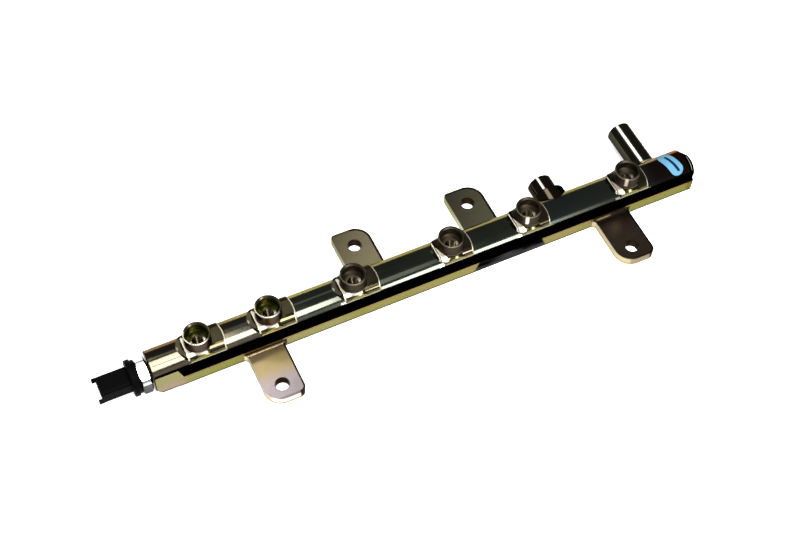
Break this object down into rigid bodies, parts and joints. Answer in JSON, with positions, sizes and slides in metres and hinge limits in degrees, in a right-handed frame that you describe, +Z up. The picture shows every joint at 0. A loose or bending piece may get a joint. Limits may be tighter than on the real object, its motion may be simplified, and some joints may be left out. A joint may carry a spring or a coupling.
{
  "type": "fuel rail",
  "caption": "Forged common-rail fuel rail with upright threaded outlet cups, side mounting tabs, rear pipe ports, an end pressure sensor and a pressure limiting valve.",
  "frame": {"origin": "on the flat underside of the bar, midway between the four mounting tabs and under the main bore", "axes": "+X along the rail from the sensor end to the closed end, +Y to the side of the two pipe ports, +Z up through the outlets"},
  "size_m": [0.5065, 0.119, 0.042],
  "materials": {
    "rail_steel": "forged steel, dark olive chromate over zinc, pale gold where milled",
    "throttle_steel": "ground bright steel",
    "sensor_steel": "bright plated steel",
    "connector_plastic": "black glass-filled plastic, matte",
    "seal_rubber": "black moulded rubber",
    "washer_copper": "soft copper",
    "board_laminate": "green glass-fibre laminate",
    "contact_metal": "tin-plated contact strip",
    "valve_steel": "hardened ground steel",
    "spring_steel": "oil-tempered spring wire"
  },
  "bodies": {
    "rail": {"rail_body": "rail_steel", "inlet_throttle": "throttle_steel", "sensor_body": "sensor_steel", "sensor_housing": "connector_plastic", "sensor_ring": "seal_rubber", "sensor_washer": "washer_copper", "sensor_element": "sensor_steel", "sensor_board": "board_laminate", "sensor_pin_1": "contact_metal", "sensor_pin_2": "contact_metal", "sensor_pin_3": "contact_metal", "valve_seat": "valve_steel", "valve_spring": "spring_steel", "valve_shim": "valve_steel", "valve_retainer": "valve_steel", "outlet_throttle_1": "throttle_steel", "outlet_throttle_2": "throttle_steel", "outlet_throttle_3": "throttle_steel", "outlet_throttle_4": "throttle_steel", "outlet_throttle_5": "throttle_steel", "outlet_throttle_6": "throttle_steel"},
    "plunger": {"valve_plunger": "valve_steel"}
  },
  "joints": [
    {"name": "valve_lift", "type": "slide", "parent": "rail", "child": "plunger", "axis": [0, 1, 0], "range_m": [0, 0.001], "stiffness_N_per_m": 55000, "springref_m": -0.0041, "deforming": ["valve_spring"]}
  ]
}
